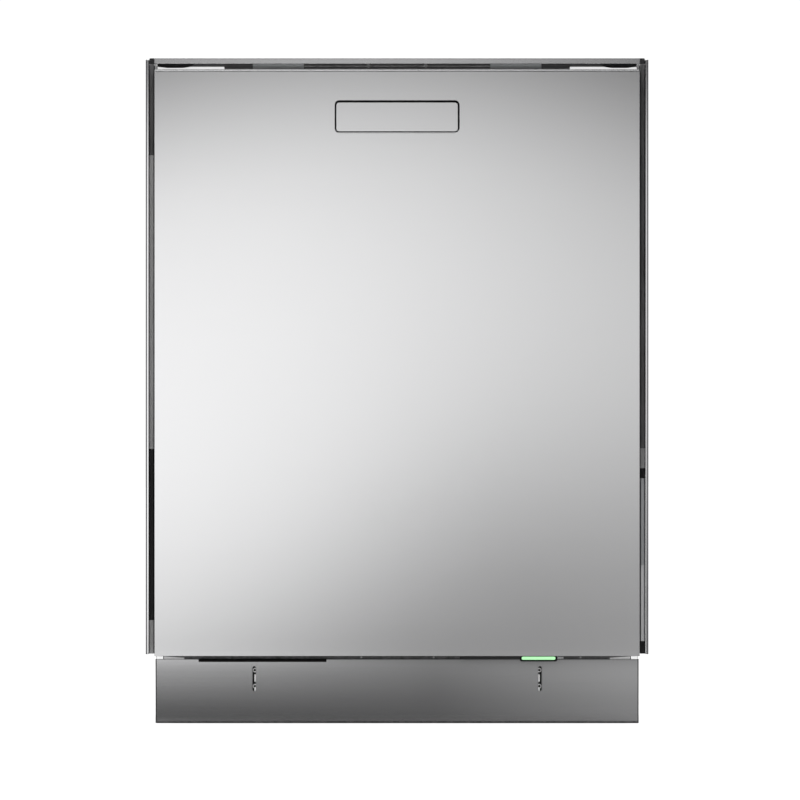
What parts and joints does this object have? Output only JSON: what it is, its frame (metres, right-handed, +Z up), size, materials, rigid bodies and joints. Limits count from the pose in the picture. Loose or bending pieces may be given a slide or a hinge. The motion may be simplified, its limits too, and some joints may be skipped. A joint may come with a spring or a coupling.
{
  "type": "built-in dishwasher",
  "caption": "Built-in dishwasher with a full-height brushed steel drop-down door, a flush handle flap, hidden controls, sliding racks, spray arms and a recessed plinth on levelling feet.",
  "frame": {"origin": "middle of the footprint on the floor, under the overall box", "axes": "+X to the right as seen from the front, the front faces -Y, +Z up along the tallest side"},
  "size_m": [0.617, 0.57, 0.818],
  "materials": {
    "brushed_steel": "horizontally brushed stainless steel, satin",
    "plinth_steel": "darker horizontally brushed stainless steel, satin",
    "polished_steel": "polished stainless strip",
    "tub_steel": "bright rolled stainless steel, smooth",
    "zinc_steel": "zinc-plated sheet steel, dull",
    "black_plastic": "moulded black polypropylene, fine texture",
    "grey_plastic": "moulded mid-grey polypropylene",
    "pale_plastic": "moulded pale grey polypropylene",
    "blue_plastic": "moulded blue-grey polypropylene",
    "rubber": "black door-seal rubber, matt",
    "board": "dark sound-damping board, matt",
    "coated_wire": "nylon-coated steel wire, grey satin",
    "green_lens": "translucent pale green light lens"
  },
  "bodies": {
    "cabinet": {"tub": "tub_steel", "front_frame": "tub_steel", "top_trim": "brushed_steel", "moulding_left": "polished_steel", "moulding_right": "polished_steel", "side_panel_left": "zinc_steel", "side_panel_right": "zinc_steel", "back_panel": "zinc_steel", "top_insulation": "board", "base_tray": "black_plastic", "plinth": "plinth_steel", "plinth_screw_left": "zinc_steel", "plinth_screw_right": "zinc_steel", "door_gasket": "rubber", "hinge_bracket_left": "zinc_steel", "hinge_bracket_right": "zinc_steel", "door_spring_left": "zinc_steel", "door_spring_right": "zinc_steel", "sump": "black_plastic", "filter_plate": "tub_steel", "supply_pipe": "grey_plastic", "upper_rail_left": "zinc_steel", "upper_rail_right": "zinc_steel", "circulation_pump": "grey_plastic", "drain_pump": "grey_plastic", "water_softener": "pale_plastic", "inlet_valve": "pale_plastic", "water_tank": "pale_plastic", "power_box": "grey_plastic"},
    "door": {"door_skin": "brushed_steel", "door_liner": "tub_steel", "handle_pocket": "black_plastic", "control_panel": "black_plastic", "door_latch": "zinc_steel", "dispenser_body": "grey_plastic", "status_light": "green_lens", "hinge_arm_left": "zinc_steel", "hinge_arm_right": "zinc_steel"},
    "flap": {"handle_flap": "brushed_steel"},
    "power_button": {"power_button": "pale_plastic"},
    "start_button": {"start_button": "pale_plastic"},
    "dispenser_lid": {"dispenser_lid": "grey_plastic"},
    "rinse_cap": {"rinse_cap": "blue_plastic"},
    "filter": {"filter_cylinder": "grey_plastic"},
    "salt_cap": {"salt_cap": "grey_plastic"},
    "lower_arm": {"lower_arm": "grey_plastic"},
    "middle_arm": {"middle_arm": "grey_plastic"},
    "top_arm": {"top_arm": "grey_plastic"},
    "lower_rack": {"lower_rack": "coated_wire"},
    "upper_rack": {"upper_rack": "coated_wire", "feed_pipe": "grey_plastic"},
    "cutlery_tray": {"cutlery_tray": "coated_wire"},
    "foot_front_left": {"foot_front_left": "black_plastic"},
    "foot_rear_left": {"foot_rear_left": "black_plastic"},
    "foot_front_right": {"foot_front_right": "black_plastic"},
    "foot_rear_right": {"foot_rear_right": "black_plastic"},
    "wheel_front_left": {"wheel_front_left": "grey_plastic"},
    "wheel_rear_left": {"wheel_rear_left": "grey_plastic"},
    "wheel_front_right": {"wheel_front_right": "grey_plastic"},
    "wheel_rear_right": {"wheel_rear_right": "grey_plastic"}
  },
  "joints": [
    {"name": "door_hinge", "type": "hinge", "parent": "cabinet", "child": "door", "pos_m": [0, -0.255, 0.112], "axis": [1, 0, 0], "range_deg": [0, 90]},
    {"name": "handle_flap_hinge", "type": "hinge", "parent": "door", "child": "flap", "pos_m": [0, -0.2815, 0.729], "axis": [-1, 0, 0], "range_deg": [0, 35], "stiffness_Nm_per_rad": 0.05, "springref_deg": -34.38},
    {"name": "power_button_press", "type": "slide", "parent": "door", "child": "power_button", "axis": [0, 0, -1], "range_m": [0, 0.001], "stiffness_N_per_m": 300, "springref_m": -0.002},
    {"name": "start_button_press", "type": "slide", "parent": "door", "child": "start_button", "axis": [0, 0, -1], "range_m": [0, 0.001], "stiffness_N_per_m": 300, "springref_m": -0.002},
    {"name": "dispenser_lid_slide", "type": "slide", "parent": "door", "child": "dispenser_lid", "axis": [1, 0, 0], "range_m": [0, 0.085]},
    {"name": "rinse_cap_turn", "type": "hinge", "parent": "door", "child": "rinse_cap", "pos_m": [0.03, -0.2331, 0.46], "axis": [0, 1, 0], "range_deg": [0, 90]},
    {"name": "filter_turn", "type": "hinge", "parent": "cabinet", "child": "filter", "pos_m": [0, -0.085, 0.13], "axis": [0, 0, 1], "range_deg": [0, 90]},
    {"name": "salt_cap_turn", "type": "hinge", "parent": "cabinet", "child": "salt_cap", "pos_m": [-0.17, 0.02, 0.13], "axis": [0, 0, 1], "range_deg": [0, 180]},
    {"name": "lower_arm_spin", "type": "hinge", "parent": "cabinet", "child": "lower_arm", "pos_m": [0, -0.01, 0.1505], "axis": [0, 0, 1], "continuous": true},
    {"name": "middle_arm_spin", "type": "hinge", "parent": "upper_rack", "child": "middle_arm", "pos_m": [0, -0.01, 0.425], "axis": [0, 0, 1], "continuous": true},
    {"name": "top_arm_spin", "type": "hinge", "parent": "cabinet", "child": "top_arm", "pos_m": [0, -0.01, 0.719], "axis": [0, 0, 1], "continuous": true},
    {"name": "lower_rack_slide", "type": "slide", "parent": "cabinet", "child": "lower_rack", "axis": [0, -1, 0], "range_m": [0, 0.158]},
    {"name": "upper_rack_slide", "type": "slide", "parent": "cabinet", "child": "upper_rack", "axis": [0, -1, 0], "range_m": [0, 0.34]},
    {"name": "cutlery_tray_slide", "type": "slide", "parent": "cabinet", "child": "cutlery_tray", "axis": [0, -1, 0], "range_m": [0, 0.34]},
    {"name": "foot_front_left_screw", "type": "slide", "parent": "cabinet", "child": "foot_front_left", "axis": [0, 0, -1], "range_m": [0, 0.05]},
    {"name": "foot_rear_left_screw", "type": "slide", "parent": "cabinet", "child": "foot_rear_left", "axis": [0, 0, -1], "range_m": [0, 0.05]},
    {"name": "foot_front_right_screw", "type": "slide", "parent": "cabinet", "child": "foot_front_right", "axis": [0, 0, -1], "range_m": [0, 0.05]},
    {"name": "foot_rear_right_screw", "type": "slide", "parent": "cabinet", "child": "foot_rear_right", "axis": [0, 0, -1], "range_m": [0, 0.05]},
    {"name": "wheel_front_left_roll", "type": "hinge", "parent": "lower_rack", "child": "wheel_front_left", "pos_m": [-0.243, -0.075, 0.148], "axis": [1, 0, 0], "continuous": true},
    {"name": "wheel_rear_left_roll", "type": "hinge", "parent": "lower_rack", "child": "wheel_rear_left", "pos_m": [-0.243, 0.14, 0.148], "axis": [1, 0, 0], "continuous": true},
    {"name": "wheel_front_right_roll", "type": "hinge", "parent": "lower_rack", "child": "wheel_front_right", "pos_m": [0.243, -0.075, 0.148], "axis": [1, 0, 0], "continuous": true},
    {"name": "wheel_rear_right_roll", "type": "hinge", "parent": "lower_rack", "child": "wheel_rear_right", "pos_m": [0.243, 0.14, 0.148], "axis": [1, 0, 0], "continuous": true}
  ],
  "couplings": [
    {"joint": "lower_rack_slide", "follows": "door_hinge", "m_per_rad": 0.1},
    {"joint": "upper_rack_slide", "follows": "door_hinge", "m_per_rad": 0.216},
    {"joint": "cutlery_tray_slide", "follows": "door_hinge", "m_per_rad": 0.216},
    {"joint": "wheel_front_left_roll", "follows": "door_hinge", "ratio": 5.7143},
    {"joint": "wheel_rear_left_roll", "follows": "door_hinge", "ratio": 5.7143},
    {"joint": "wheel_front_right_roll", "follows": "door_hinge", "ratio": 5.7143},
    {"joint": "wheel_rear_right_roll", "follows": "door_hinge", "ratio": 5.7143}
  ]
}
